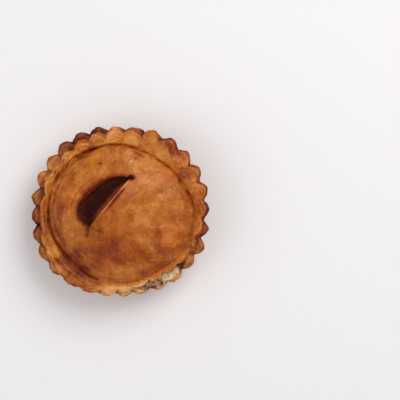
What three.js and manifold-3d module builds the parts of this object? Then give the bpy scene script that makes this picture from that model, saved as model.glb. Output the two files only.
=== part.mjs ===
// A small round curd tart: a puff pastry case with a fluted rim, a baked curd filling
// and a domed pastry lid with a fluted rim of its own, slit open at the top.
// Millimetres, Z up. The tart stands on Z = 0 and the slit's rounded side faces -X.

import * as THREE from "three";
import { mergeVertices } from "three/addons/utils/BufferGeometryUtils.js";
import Module from "manifold-3d";

// Fluted edges
const FLUTES = 28; // flutes round each sheet of pastry
const FLUTE_DEPTH = 2.8; // from a valley to an even tip
const FLUTE_SPREAD = 0.25; // how much one flute differs from the next
const PHASE = 1 / 6; // first tip, as a share of one flute
const LID_SLIP = 0.3; // how far the lid's flutes fall out of step on the far side
const LID_FADE = 0.5; // how much shallower the lid's flutes are at the lower left

// Radii and depths at twelve places round the tart, 30 degrees apart, anticlockwise from +X
const CASE_TIPS = [48.3, 49.3, 49.3, 47.5, 49.2, 48.9, 48.4, 49.9, 48.8, 46.1, 47.4, 48.9];
const LID_TIPS = [48.2, 49.3, 48.6, 46.2, 45.0, 44.1, 43.6, 45.2, 46.6, 43.6, 41.4, 45.6];
const CREASE_RADII = [40.1, 37.0, 35.4, 36.9, 37.7, 38.6, 39.6, 39.0, 38.8, 39.2, 38.2, 40.2];
const CREASE_DEPTHS = [0.9, 0.9, 1.0, 1.0, 0.9, 0.8, 0.7, 1.1, 1.4, 0.5, 0.2, 0.5];
const CREASE_WIDTHS = [1.2, 1.2, 1.2, 1.2, 1.3, 1.5, 1.6, 2.2, 3.2, 2.4, 1.6, 1.3];

const MIDDLE = new THREE.Vector2(-0.2, 0.8); // of the outline, seen from the dome's axis

// Pastry case
const FOOT_RADIUS = 33.8; // flat underside
const WALL_TOP_RADIUS = 40.5; // outside of the wall, below the rim
const FLOOR_THICK = 3.2;
const WALL_THICK = 2.6;
const RIM_Z = 20; // top of the case's rim
const RIM_THICK = 2.6;
const RIM_DROOP = 1.2; // how far the fluted edge hangs down

// Lid
const LID_THICK = 2.3;
const LID_RIM_THICK = 2.5;
const DOME_RISE = 9.6; // underside of the dome above the rim
const DOME_POWER = 2.6; // a higher power gives a flatter top
const DOME_SHOULDER = 0.8;
const FLUTE_RELIEF = 0.7; // how far the flutes' ridges stand above their valleys
const UNEVEN = 0.5; // how far the dome and the curd's skin wander up and down

// Slit in the lid: a straight cut, and a rounded side where the pastry drew back
const SLIT_HEAD = new THREE.Vector2(5.8, 18.7);
const SLIT_TAIL = new THREE.Vector2(-16, -7.4);
const SLIT_SIDE = new THREE.Vector2(-18.9, 10.5);
const HEAD_PULLS = [-1.2, 20.9, -13.2, 16.7]; // the curve's two handles, from the head to the side
const TAIL_PULLS = [-24.7, 4.2, -25.7, -6.8]; // and from the side to the tail
const FLAP_RISE = 1.9; // how far the pastry curls up along the straight cut
const FLAP_REACH = 7;
const ROLL_DROP = 2.3; // how far the pastry rolls down along the rounded side
const ROLL_REACH = 6;

// Filling
const GAP = 0.3; // between pieces that touch
const CURD_Z = 23.9; // the curd's sunk surface in the slit
const CURD_REACH = 10; // the curd rises back to the lid within this distance
const CURD_CLEAR = 0.9; // below the lid's underside
const SEEP_MIDDLE = 305; // degrees round the tart, where curd has seeped out under the lid
const SEEP_HALF = 34; // degrees to either side
const SEEP_REACH = 8.6;
const SEEP_THICK = 1.3;
const SEEP_INSET = 0.6; // the curd stops this far inside the case's edge
const SEEP_LEAST = 0.02; // a smaller share of the full seep counts as none

// Facets
const POINTS_PER_FLUTE = 6;
const SEGMENTS = FLUTES * POINTS_PER_FLUTE;
const DOME = 40; // nominal radius of the crease in the lid's rings
const EDGE = 50; // nominal radius of a fluted edge in any rings
const CURVE_STEPS = 14; // in each of the slit's curves

const TAU = 2 * Math.PI;
const { lerp, smoothstep, euclideanModulo, degToRad } = THREE.MathUtils;
const wasm = await Module();
wasm.setup();

// Even chance from -1 to 1, the same each time
function chance(number, seed) {
  return Math.sin(number * 12.9898 + seed * 78.233);
}

// Gentle unevenness of hand-laid pastry, from -1 to 1
function ripple(x, y) {
  return 0.5 * Math.sin(x / 7 + 1.3 * Math.cos(y / 9)) + 0.5 * Math.cos(y / 8 + Math.sin(x / 11 + 2));
}

// A value that runs smoothly through the twelve given round the tart
function aroundTart(values, angle) {
  const spot = euclideanModulo(angle / TAU, 1) * values.length;
  const first = Math.floor(spot);
  const t = spot - first;
  const at = (step) => values[(first + step + values.length) % values.length];
  const [a, b, c, d] = [at(-1), at(0), at(1), at(2)];
  const bend = 2 * a - 5 * b + 4 * c - d + t * (3 * (b - c) + d - a);
  return b + 0.5 * t * (c - a + t * bend);
}

// 0 in a narrow valley between two flutes, about 1 at a rounded tip
function flute(angle, phase, seed) {
  const turns = (angle / TAU) * FLUTES - phase;
  const tip = euclideanModulo(Math.round(turns), FLUTES);
  const wave = Math.abs(Math.cos(Math.PI * turns));
  return wave * (1 + FLUTE_SPREAD * chance(tip, seed));
}

function caseEdge(angle) {
  return aroundTart(CASE_TIPS, angle) - FLUTE_DEPTH * (1 - flute(angle, PHASE, 1));
}

function lidFlute(angle) {
  return flute(angle, PHASE + 0.5 * LID_SLIP * (1 - Math.cos(angle)), 2);
}

function lidEdge(angle) {
  const shallow = 0.5 * LID_FADE * (1 - Math.cos(angle - Math.PI / 4));
  return aroundTart(LID_TIPS, angle) - FLUTE_DEPTH * (1 - shallow) * (1 - lidFlute(angle));
}

// 1 in the middle of the place where the curd seeped out, 0 away from it
function seep(angle) {
  const turn = euclideanModulo(angle - degToRad(SEEP_MIDDLE) + Math.PI, TAU) - Math.PI;
  const amount = 1 - smoothstep(Math.abs(turn), degToRad(SEEP_HALF) / 3, degToRad(SEEP_HALF));
  return amount > SEEP_LEAST ? amount : 0;
}

// Top of the case's rim, which the lid lies on
function rimTop(radius) {
  return RIM_Z - RIM_DROOP * smoothstep(radius, WALL_TOP_RADIUS, EDGE);
}

function caveRadius(z) {
  const share = (z - FLOOR_THICK) / (RIM_Z - FLOOR_THICK);
  return lerp(FOOT_RADIUS - WALL_THICK, WALL_TOP_RADIUS - WALL_THICK, share);
}

// The slit's outline, from its head round the rounded side to its tail and back along the cut
function slitShape() {
  const shape = new THREE.Shape();
  shape.moveTo(SLIT_HEAD.x, SLIT_HEAD.y);
  shape.bezierCurveTo(...HEAD_PULLS, SLIT_SIDE.x, SLIT_SIDE.y);
  shape.bezierCurveTo(...TAIL_PULLS, SLIT_TAIL.x, SLIT_TAIL.y);
  return shape.closePath();
}

const slitOutline = slitShape().getPoints(CURVE_STEPS);

// Distance to the slit's outline, negative inside the slit
function slitDistance(x, y) {
  const spot = new THREE.Vector3(x, y, 0);
  const edge = new THREE.Line3();
  const nearest = new THREE.Vector3();
  let least = Infinity;
  let inside = false;
  slitOutline.forEach((a, i) => {
    const b = slitOutline[(i + 1) % slitOutline.length];
    edge.start.set(a.x, a.y, 0);
    edge.end.set(b.x, b.y, 0);
    least = Math.min(least, edge.closestPointToPoint(spot, true, nearest).distanceTo(spot));
    const crosses = a.y > y !== b.y > y && x < lerp(a.x, b.x, (y - a.y) / (b.y - a.y));
    inside = crosses ? !inside : inside;
  });
  return inside ? -least : least;
}

// The straight cut as an axis: how far along it a point lies, from 0 to 1, and how far to the flap's side
function alongCut(x, y) {
  const cut = SLIT_TAIL.clone().sub(SLIT_HEAD);
  const spot = new THREE.Vector2(x, y).sub(SLIT_HEAD);
  return { share: spot.dot(cut) / cut.lengthSq(), side: cut.cross(spot) / cut.length() };
}

// The lid curls up along the straight cut and rolls down along the rounded side
function lipLift(x, y) {
  const spot = new THREE.Vector2(x, y);
  const { share, side } = alongCut(x, y);
  const away = Math.max(0, slitDistance(x, y));
  const middle = smoothstep(share, -0.12, 0.35) * (1 - smoothstep(share, 0.65, 1.12));
  const ends = smoothstep(spot.distanceTo(SLIT_HEAD), 0, 12) * smoothstep(spot.distanceTo(SLIT_TAIL), 0, 8);
  const curl = FLAP_RISE * middle * Math.exp(-away / FLAP_REACH);
  const roll = -ROLL_DROP * ends * (1 - smoothstep(away, 0, ROLL_REACH));
  return lerp(roll, curl, smoothstep(side, -4, -2));
}

function domeLift(radius, angle) {
  const share = Math.min(1, radius / aroundTart(CREASE_RADII, angle));
  const rise = DOME_RISE * (1 - share ** DOME_POWER) ** DOME_SHOULDER;
  const uneven = ripple(radius * Math.cos(angle), radius * Math.sin(angle));
  return rise + UNEVEN * uneven * (1 - share * share);
}

function lidUnder(radius, angle) {
  const lifted = SEEP_THICK * seep(angle) * smoothstep(radius, DOME / 3, DOME - 3);
  return rimTop(radius) + GAP + lifted + domeLift(radius, angle);
}

function lidTop(radius, angle) {
  const crease = aroundTart(CREASE_RADII, angle);
  const past = radius - crease;
  const rim = smoothstep(past, 0, 3);
  const spread = past / aroundTart(CREASE_WIDTHS, angle);
  const groove = aroundTart(CREASE_DEPTHS, angle) * Math.exp(-spread * spread);
  const ridges = FLUTE_RELIEF * (lidFlute(angle) - 0.5) * smoothstep(past, 1, 7);
  return lidUnder(radius, angle) + lerp(LID_THICK, LID_RIM_THICK, rim) - groove + ridges;
}

function curdTop(radius, angle) {
  const x = radius * Math.cos(angle);
  const y = radius * Math.sin(angle);
  const open = 1 - smoothstep(slitDistance(x, y), 0, CURD_REACH);
  const full = lidUnder(radius, angle) + Math.min(0, lipLift(x, y)) - CURD_CLEAR;
  return lerp(full, Math.min(full, CURD_Z + UNEVEN * ripple(3 * x, 3 * y)), open);
}

// A closed solid of rings, from the axis below to the axis above. A ring is [radius, height, share],
// and place() takes radius, angle and height to a point. Near the axis several points share one
// place, so that the facets stay near one size.
function ringed(rings, place) {
  const profile = rings.map(([radius, height]) => new THREE.Vector2(radius, height));
  const geometry = new THREE.LatheGeometry(profile, SEGMENTS);
  const points = geometry.getAttribute("position");
  for (let turn = 0; turn <= SEGMENTS; turn += 1) {
    rings.forEach(([radius, height, share], ring) => {
      const step = (Math.floor(turn / share) * share) % SEGMENTS;
      const angle = (step / SEGMENTS) * TAU;
      const [out, z] = place(radius, angle, height);
      points.setXYZ(turn * rings.length + ring, out * Math.cos(angle), out * Math.sin(angle), z);
    });
  }
  return geometry;
}

// A geometry as a solid, without the triangles that shared places have closed up
function solidOf(geometry) {
  geometry.deleteAttribute("normal");
  geometry.deleteAttribute("uv");
  const merged = mergeVertices(geometry, 1e-4);
  const kept = [];
  for (let i = 0; i < merged.index.count; i += 3) {
    const corners = Array.from(merged.index.array.subarray(i, i + 3));
    if (new Set(corners).size === 3) kept.push(...corners);
  }
  const vertProperties = merged.getAttribute("position").array;
  const triVerts = new Uint32Array(kept);
  return new wasm.Manifold(new wasm.Mesh({ numProp: 3, vertProperties, triVerts }));
}

function geometryOf(solid) {
  const { vertProperties, triVerts } = solid.getMesh();
  const geometry = new THREE.BufferGeometry();
  geometry.setAttribute("position", new THREE.BufferAttribute(vertProperties, 3));
  geometry.setIndex(new THREE.BufferAttribute(triVerts, 1));
  geometry.computeVertexNormals();
  return geometry;
}

// The case: a tapering cup whose rim turns outwards into a fluted edge
function pastryCase() {
  const low = RIM_Z - RIM_THICK;
  const rings = [
    [0, 0, 4],
    [FOOT_RADIUS / 2, 0, 4],
    [FOOT_RADIUS, 0, 2],
    [FOOT_RADIUS + 1.3, 1.3, 2],
    [FOOT_RADIUS + 3, 7, 2],
    [FOOT_RADIUS + 4.8, 12.5, 2],
    [WALL_TOP_RADIUS - 0.4, low - 1, 2],
    [WALL_TOP_RADIUS + 0.5, low, 1],
    [WALL_TOP_RADIUS + 4.5, low, 1],
    [EDGE - 0.8, low + 0.3, 1],
    [EDGE, RIM_Z - 1.4, 1],
    [EDGE - 0.8, RIM_Z - 0.2, 1],
    [WALL_TOP_RADIUS + 4, RIM_Z, 1],
    [caveRadius(RIM_Z), RIM_Z, 2],
    [caveRadius(12), 12, 2],
    [caveRadius(6), 6, 2],
    [caveRadius(FLOOR_THICK), FLOOR_THICK, 2],
    [caveRadius(FLOOR_THICK) / 2, FLOOR_THICK, 4],
    [0, FLOOR_THICK, 4],
  ];
  const place = (radius, angle, height) => {
    const share = Math.max(0, (radius - WALL_TOP_RADIUS) / (EDGE - WALL_TOP_RADIUS));
    const out = share > 0 ? lerp(WALL_TOP_RADIUS, caseEdge(angle), share) : radius;
    return [out, share > 0 ? height + rimTop(out) - RIM_Z : height];
  };
  return ringed(rings, place);
}

// The curd: it fills the case, sinks in the slit, and seeps out over the rim in one place
function curd() {
  const neck = caveRadius(RIM_Z) - GAP;
  const top = (radius, share) => [radius, Infinity, share];
  const rings = [
    [0, FLOOR_THICK + GAP, 4],
    [15, FLOOR_THICK + GAP, 4],
    [caveRadius(FLOOR_THICK + GAP) - GAP, FLOOR_THICK + GAP, 2],
    [caveRadius(12) - GAP, 12, 2],
    [neck, RIM_Z - 0.4, 1],
    [neck, RIM_Z, 1],
    [EDGE, RIM_Z, 1],
    [EDGE, RIM_Z + SEEP_THICK, 1],
    top(DOME, 1),
    top(38, 2),
    top(34, 2),
    top(30, 2),
    top(26.5, 2),
    top(23.5, 2),
    top(20.5, 2),
    top(17.5, 2),
    top(14.5, 2),
    top(11.5, 2),
    top(8, 4),
    top(4, 4),
    top(0, 4),
  ];
  const place = (radius, angle, height) => {
    const amount = seep(angle);
    const lip = Math.min(neck + SEEP_REACH * amount, caseEdge(angle) - SEEP_INSET);
    const bed = amount > 0 ? GAP : -GAP / 2;
    const skin = SEEP_THICK * amount > 1.5 * GAP ? SEEP_THICK * amount : bed;
    if (height === Infinity) {
      const out = (radius / DOME) * Math.min(lip - SEEP_THICK, aroundTart(CREASE_RADII, angle));
      return [out, Math.max(curdTop(out, angle), rimTop(out) + skin)];
    }
    if (height < RIM_Z) return [Math.min(radius, neck), height];
    const out = radius === EDGE ? lip : neck;
    return [out, rimTop(out) + (height > RIM_Z ? skin : bed)];
  };
  return ringed(rings, place);
}

// The lid before it is slit: a dome inside a pressed crease, and a fluted rim outside it
function wholeLid() {
  const rings = [
    [0, 0, 4],
    [11, 0, 4],
    [20.5, 0, 2],
    [26.5, 0, 2],
    [30, 0, 2],
    [34, 0, 2],
    [38, 0, 2],
    [DOME, 0, 1],
    [EDGE - 4, 0, 1],
    [EDGE - 0.6, 0, 1],
    [EDGE + 0.2, 0.35, 1],
    [EDGE - 0.4, 0.5, 1],
    [EDGE, 0.85, 1],
    [EDGE - 1, 1, 1],
    [EDGE - 4, 1, 1],
    [EDGE - 7.5, 1, 1],
    [DOME, 1, 1],
    [DOME - 1.6, 1, 1],
    [DOME - 4, 1, 2],
    [32, 1, 2],
    [28.5, 1, 2],
    [25.5, 1, 2],
    [22.5, 1, 2],
    [19.5, 1, 2],
    [16.5, 1, 2],
    [13, 1, 2],
    [9, 1, 4],
    [4.5, 1, 4],
    [0, 1, 4],
  ];
  const place = (radius, angle, height) => {
    const crease = aroundTart(CREASE_RADII, angle);
    const share = (radius - DOME) / (EDGE - DOME);
    const out = share > 0 ? lerp(crease, lidEdge(angle), share) : (radius / DOME) * crease;
    return [out, lerp(lidUnder(out, angle), lidTop(out, angle), height)];
  };
  return ringed(rings, place);
}

// The lid, slit by an upright block of the slit's outline and then bent along the slit
function lid() {
  const depth = 2 * (DOME_RISE + LID_THICK);
  const upright = { depth, bevelEnabled: false, curveSegments: CURVE_STEPS };
  const block = new THREE.ExtrudeGeometry(slitShape(), upright);
  block.translate(0, 0, RIM_Z - 2);
  const geometry = geometryOf(solidOf(wholeLid()).subtract(solidOf(block)));
  const points = geometry.getAttribute("position");
  for (let i = 0; i < points.count; i += 1) {
    points.setZ(i, points.getZ(i) + lipLift(points.getX(i), points.getY(i)));
  }
  geometry.computeVertexNormals();
  return geometry;
}

const bakedCase = new THREE.MeshStandardMaterial({ color: 0x9c5f2b, roughness: 0.62, metalness: 0 });
const goldenLid = new THREE.MeshStandardMaterial({ color: 0xb4712f, roughness: 0.42, metalness: 0 });
const brownedCurd = new THREE.MeshStandardMaterial({ color: 0x3a1710, roughness: 0.35, metalness: 0 });

const tart = new THREE.Group();
for (const [name, geometry, material] of [
  ["pastry_case", geometryOf(solidOf(pastryCase())), bakedCase],
  ["curd_filling", geometryOf(solidOf(curd())), brownedCurd],
  ["pastry_lid", lid(), goldenLid],
]) {
  const mesh = new THREE.Mesh(geometry, material);
  mesh.name = name;
  tart.add(mesh);
}

// The origin is the middle of the outline, on the table
for (const mesh of tart.children) mesh.position.set(-MIDDLE.x, -MIDDLE.y, 0);

export default tart;
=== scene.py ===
# %% [markdown]
# # A curd tart
# A small round tart: a puff pastry case with a fluted rim, a baked curd filling, and a glazed
# pastry lid with a fluted rim of its own, slit open at the top. The plain solids of the three
# come packed as a frame. This script dresses them: each solid is replaced by a finer piece with
# leaves, blisters and a baked colour, modelled round the same dimensions.

# %% Load the frame
import math
import random

import bmesh
import bpy
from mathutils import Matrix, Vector, kdtree, noise
from mathutils.geometry import intersect_point_line


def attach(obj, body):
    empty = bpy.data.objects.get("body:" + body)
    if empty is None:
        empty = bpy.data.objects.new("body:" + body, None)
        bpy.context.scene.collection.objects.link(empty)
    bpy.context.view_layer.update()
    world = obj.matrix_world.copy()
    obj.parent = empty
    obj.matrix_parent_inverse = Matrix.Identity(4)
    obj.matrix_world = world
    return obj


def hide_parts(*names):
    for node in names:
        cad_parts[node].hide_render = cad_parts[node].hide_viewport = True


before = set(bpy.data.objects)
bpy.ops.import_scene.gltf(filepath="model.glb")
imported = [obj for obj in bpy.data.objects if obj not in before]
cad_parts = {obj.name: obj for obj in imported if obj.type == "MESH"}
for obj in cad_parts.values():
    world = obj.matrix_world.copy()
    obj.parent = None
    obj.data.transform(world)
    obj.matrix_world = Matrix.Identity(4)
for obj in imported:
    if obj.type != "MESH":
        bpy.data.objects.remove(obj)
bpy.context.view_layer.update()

print("nodes:", sorted(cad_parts))

# %% [markdown]
# Pastry is easier to think about in millimetres, so every dimension and every shape below is in
# millimetres about the dome's axis. A finished piece is scaled to metres and moved so that the
# middle of the outline comes to the origin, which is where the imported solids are.

# %% Dimensions
MM = 0.001
MIDDLE = Vector((-0.2, 0.8, 0.0))

FLUTES = 28
FLUTE_DEPTH = 2.8
FLUTE_SPREAD = 0.25
# Under 1 a flute is a round knob beside a narrow notch, over 1 its tip is narrower
FLUTE_POWERS = [1.1, 1.3, 1.2, 0.9, 0.8, 0.8, 0.8, 0.8, 0.8, 0.8, 0.8, 0.9]
PHASE = 1 / 6
LID_SLIP = 0.3  # how far the lid's flutes have slipped at the left, in flutes
LID_FADE = 0.5  # how much shallower they are at the lower left

CASE_TIPS = [48.3, 49.3, 49.3, 47.5, 49.2, 48.9, 48.4, 49.9, 48.8, 46.1, 47.4, 48.9]
LID_TIPS = [48.2, 49.3, 48.6, 46.2, 45.0, 44.1, 44.2, 46.4, 47.3, 43.8, 41.4, 45.6]
CREASE_RADII = [40.1, 37.0, 35.4, 36.9, 37.7, 38.6, 39.3, 37.9, 38.3, 39.2, 38.2, 40.2]
CREASE_DEPTHS = [0.9, 0.8, 0.8, 0.9, 0.9, 0.8, 0.7, 0.8, 0.8, 0.5, 0.2, 0.5]
CREASE_WIDTHS = [1.1, 0.9, 0.8, 0.9, 1.2, 1.5, 1.6, 2.2, 3.2, 2.4, 1.6, 1.3]
CREASE_LINES = [0.5, 1.0, 1.0, 0.8, 0.9, 0.4, 0.3, 0.25, 0.15, 0.0, 0.0, 0.1]

FOOT_RADIUS = 33.8
WALL_TOP_RADIUS = 40.5
FLOOR_THICK = 3.2
WALL_THICK = 2.6
RIM_Z = 20.0
RIM_THICK = 2.6
RIM_DROOP = 1.2

LID_THICK = 2.3
LID_RIM_THICK = 2.5
DOME_RISE = 9.6
DOME_POWER = 2.6
DOME_SHOULDER = 0.8
FLUTE_RELIEF = 0.6

SLIT_HEAD = Vector((5.8, 18.7))
SLIT_TAIL = Vector((-16.0, -7.4))
SLIT_SIDE = Vector((-18.9, 10.5))
FLAP_RISE = 1.9
FLAP_REACH = 7.0
ROLL_DROP = 2.3
ROLL_REACH = 6.0

GAP = 0.3
CURD_Z = 23.9
CURD_REACH = 10.0
CURD_CLEAR = 0.9
SEEP_MIDDLE = math.radians(305)
SEEP_HALF = math.radians(34)
SEEP_REACH = 8.6
SEEP_THICK = 1.3
SEEP_INSET = 0.6

DOME = 40.0
EDGE = 50.0
print(f"{FLUTES} flutes, rim at {RIM_Z} mm, dome {DOME_RISE} mm above it")

# %% [markdown]
# Hand-laid pastry is never even, so most dimensions change round the tart. They are given at
# twelve places, like the hours of a clock, and a smooth curve runs through them.

# %% Measures that run round the tart
def clamp(value, low=0.0, high=1.0):
    return max(low, min(high, value))


def lerp(a, b, t):
    return a + (b - a) * t


def smoothstep(value, low, high):
    t = clamp((value - low) / (high - low))
    return t * t * (3 - 2 * t)


def chance(number, seed):
    # An even but random-looking number from -1 to 1
    return math.sin(number * 12.9898 + seed * 78.233)


def bell(value, width):
    # 1 at 0, and next to nothing beyond twice the width
    return math.exp(-((value / width) ** 2))


def around_tart(values, angle):
    spot = (angle / math.tau % 1) * len(values)
    first = int(spot)
    t = spot - first
    a, b, c, d = (values[(first + step) % len(values)] for step in (-1, 0, 1, 2))
    bend = 2 * a - 5 * b + 4 * c - d + t * (3 * (b - c) + d - a)
    return b + 0.5 * t * (c - a + t * bend)


# Every random pattern round the edge has a seed of its own
CASE_FLUTES_SEED, LID_FLUTES_SEED = 1, 2
CASE_RAGGED_SEED, LID_RAGGED_SEED = 60.0, 70.0
CASE_LAYERS_SEED, LID_LAYERS_SEED = 11.0, 3.0
CASE_FLAKED_SEED, LID_FLAKED_SEED = 30.0, 20.0
DOUGH_SEED = 40.0


def round_noise(angle, size, seed):
    return noise.noise(Vector((EDGE / size * math.cos(angle), EDGE / size * math.sin(angle), seed)))


def ragged(angle, seed):
    # How far a torn edge strays from its even curve
    return 0.7 * round_noise(angle, 9, seed) + 0.35 * round_noise(angle, 2.2, seed + 0.5)


def flute(angle, phase, seed):
    turns = angle / math.tau * FLUTES - phase
    tip = round(turns) % FLUTES
    knob = abs(math.cos(math.pi * turns)) ** around_tart(FLUTE_POWERS, angle)
    return knob * (1 + FLUTE_SPREAD * chance(tip, seed))


def case_edge(angle):
    scallop = FLUTE_DEPTH * (1 - flute(angle, PHASE, CASE_FLUTES_SEED))
    return around_tart(CASE_TIPS, angle) - scallop + ragged(angle, CASE_RAGGED_SEED)


def lid_flute(angle):
    return flute(angle, PHASE + 0.5 * LID_SLIP * (1 - math.cos(angle)), LID_FLUTES_SEED)


def lid_edge(angle):
    shallow = 0.5 * LID_FADE * (1 - math.cos(angle - math.pi / 4))
    scallop = FLUTE_DEPTH * (1 - shallow) * (1 - lid_flute(angle))
    return around_tart(LID_TIPS, angle) - scallop + ragged(angle, LID_RAGGED_SEED)


def crease_radius(angle):
    return around_tart(CREASE_RADII, angle)


def seep(angle):
    turn = (angle - SEEP_MIDDLE + math.pi) % math.tau - math.pi
    return 1 - smoothstep(abs(turn), SEEP_HALF / 3, SEEP_HALF)


for turned in (0, 90, 180):
    print("lid radius at", turned, "degrees:", round(lid_edge(math.radians(turned)), 1))

# %% [markdown]
# The slit was one straight cut. In the oven the pastry on its upper left shrank back and rolled
# down, and the other side curled up into a lip. Seen from above it is a letter D: two Bezier
# curves and the straight cut. Everything near it asks one question: how far is the slit's edge?

# %% The slit's outline
def bezier(p0, p1, p2, p3, t):
    s = 1 - t
    return p0 * s**3 + p1 * (3 * s * s * t) + p2 * (3 * s * t * t) + p3 * t**3


def slit_points(steps):
    round_side = [
        (SLIT_HEAD, Vector((-1.6, 21.9)), Vector((-13.2, 16.9)), SLIT_SIDE),
        (SLIT_SIDE, Vector((-24.7, 4.2)), Vector((-25.4, -4.0)), SLIT_TAIL),
    ]
    points = [bezier(*curve, i / steps) for curve in round_side for i in range(steps)]
    return points + [SLIT_TAIL.lerp(SLIT_HEAD, i / steps) for i in range(steps)]


SLIT_STEPS = 56
slit_outline = slit_points(SLIT_STEPS)
slit_tree = kdtree.KDTree(len(slit_outline))
for number, place in enumerate(slit_outline):
    slit_tree.insert(place.to_3d(), number)
slit_tree.balance()


def slit_distance(x, y):
    spot = Vector((x, y))
    number = slit_tree.find(spot.to_3d())[1]
    least, inside = math.inf, True
    for first in (number - 1, number):
        start, end = slit_outline[first], slit_outline[(first + 1) % len(slit_outline)]
        side = end - start
        t = clamp((spot - start).dot(side) / side.length_squared)
        least = min(least, (start.lerp(end, t) - spot).length)
        inside = inside and side.cross(spot - start) > 0
    return -least if inside else least


SLIT_ZONE = 36.0  # the slit lies well within this radius
FAR_FROM_SLIT = 12.0  # stands for the distance of every spot beyond it


def away_from_slit(x, y):
    return slit_distance(x, y) if math.hypot(x, y) < SLIT_ZONE else FAR_FROM_SLIT


def along_cut(x, y):
    # The share of the way from head to tail, and how far off the cut, below 0 on the rounded side
    cut = SLIT_TAIL - SLIT_HEAD
    spot = Vector((x, y)) - SLIT_HEAD
    return spot.dot(cut) / cut.length_squared, cut.cross(spot) / cut.length


def lip_lift(x, y, away):
    spot = Vector((x, y))
    share, side = along_cut(x, y)
    away = max(0.0, away)
    middle = smoothstep(share, -0.12, 0.35) * (1 - smoothstep(share, 0.65, 1.12))
    from_head, from_tail = (spot - SLIT_HEAD).length, (spot - SLIT_TAIL).length
    ends = smoothstep(from_head, 0, 12) * smoothstep(from_tail, 0, 8)
    curl = FLAP_RISE * middle * math.exp(-away / FLAP_REACH)
    roll = -ROLL_DROP * ends * (1 - smoothstep(away, 0, ROLL_REACH))
    return lerp(roll, curl, smoothstep(side, -4, -2))


print("slit length", round((SLIT_HEAD - SLIT_TAIL).length, 1), "mm along the straight cut")

# %% [markdown]
# Heights come next: the case's rim droops towards its edge, the lid lies on it, rises into the
# dome inside the pressed crease, and its flutes stand up as ridges towards the edge.

# %% Heights
def ripple(x, y):
    # Long swells in the sheet and the curd, from -1 to 1
    across = math.sin(x / 7 + 1.3 * math.cos(y / 9))
    return 0.5 * across + 0.5 * math.cos(y / 8 + math.sin(x / 11 + 2))


def rim_top(radius):
    return RIM_Z - RIM_DROOP * smoothstep(radius, WALL_TOP_RADIUS, EDGE)


def cave_radius(z):
    share = (z - FLOOR_THICK) / (RIM_Z - FLOOR_THICK)
    return lerp(FOOT_RADIUS - WALL_THICK, WALL_TOP_RADIUS - WALL_THICK, share)


def dome_lift(radius, angle):
    share = min(1.0, radius / crease_radius(angle))
    rise = DOME_RISE * (1 - share**DOME_POWER) ** DOME_SHOULDER
    swell = 0.5 * ripple(radius * math.cos(angle), radius * math.sin(angle))
    return rise + swell * (1 - share * share)


def lid_under(radius, angle):
    lifted = SEEP_THICK * seep(angle) * smoothstep(radius, DOME / 3, DOME - 3)
    return rim_top(radius) + GAP + lifted + dome_lift(radius, angle)


def crease_groove(past, angle):
    wander = 0.5 * noise.noise(Vector((2.5 * math.cos(angle), 2.5 * math.sin(angle), 0.0)))
    fade = 1 + 0.6 * noise.noise(Vector((4 * math.cos(angle), 4 * math.sin(angle), 5.0)))
    spread = (past + wander) / around_tart(CREASE_WIDTHS, angle)
    return fade * around_tart(CREASE_DEPTHS, angle) * math.exp(-spread * spread)


def crease_line(past, angle):
    # 1 on the thin line where dome and rim are pinched together, 0 beside it
    spot = Vector((math.cos(angle), math.sin(angle), 0.0))
    wander = 1.3 * noise.noise(3.0 * spot) + 0.6 * noise.noise(9.0 * spot)
    wander += 0.4 * noise.noise(24.0 * spot)
    broken = smoothstep(noise.noise(7.0 * spot + Vector((0, 0, 4))), -0.4, 0.3)
    return around_tart(CREASE_LINES, angle) * broken * bell(past + wander, 0.34)


def lid_top(radius, angle):
    past = radius - crease_radius(angle)
    rim = smoothstep(past, 0, 3)
    groove = crease_groove(past, angle)
    outer = smoothstep(past / (lid_edge(angle) - crease_radius(angle)), 0.3, 0.9)
    ridges = FLUTE_RELIEF * (lid_flute(angle) - 0.5) * outer
    return lid_under(radius, angle) + lerp(LID_THICK, LID_RIM_THICK, rim) - groove + ridges


print("top of the dome:", round(lid_top(0, 0), 1), "mm")

# %% [markdown]
# ## The camera and the light
# The tart was photographed from straight above, from about a metre away, and lies left of the
# middle of a square picture. A long lens stands in for that distance. The light is plain and
# soft: a large window-like lamp from the upper right, a weaker one from the left, and a pale
# room.

# %% Camera
scene = bpy.context.scene
PICTURE = 400
MM_PER_PIXEL = 0.5475
TART_PIXEL = Vector((120, 211))
CAMERA_HEIGHT = 1.0

lens = bpy.data.cameras.new("camera")
lens.sensor_width = 36
lens.lens = 36 * (CAMERA_HEIGHT - RIM_Z * MM) / (PICTURE * MM_PER_PIXEL * MM)
camera = bpy.data.objects.new("camera", lens)
scene.collection.objects.link(camera)
aside = (Vector((PICTURE, PICTURE)) / 2 - TART_PIXEL) * MM_PER_PIXEL * MM
camera.location = (aside.x, -aside.y, CAMERA_HEIGHT)
scene.camera = camera
print("lens", round(lens.lens), "mm, aside", [round(1000 * a, 1) for a in aside])

# %% Lights and floor
scene.view_settings.view_transform = "Standard"
scene.view_settings.look = "None"


def soft_lamp(name, place, width, power, tint):
    light = bpy.data.lights.new(name, "AREA")
    light.shape = "DISK"
    light.size = width
    light.energy = power
    light.color = tint
    lamp = bpy.data.objects.new(name, light)
    scene.collection.objects.link(lamp)
    lamp.location = place
    lamp.rotation_euler = (-Vector(place)).to_track_quat("-Z", "Y").to_euler()


soft_lamp("window", (0.5, 0.55, 0.8), 0.8, 6.0, (1.0, 0.98, 0.96))
soft_lamp("fill", (-0.7, -0.2, 0.6), 0.8, 1.6, (0.96, 0.98, 1.0))

room = bpy.data.worlds.new("room")
room.use_nodes = True
room.node_tree.nodes["Background"].inputs["Color"].default_value = (1.0, 0.985, 0.99, 1)
room.node_tree.nodes["Background"].inputs["Strength"].default_value = 0.56
scene.world = room

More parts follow.
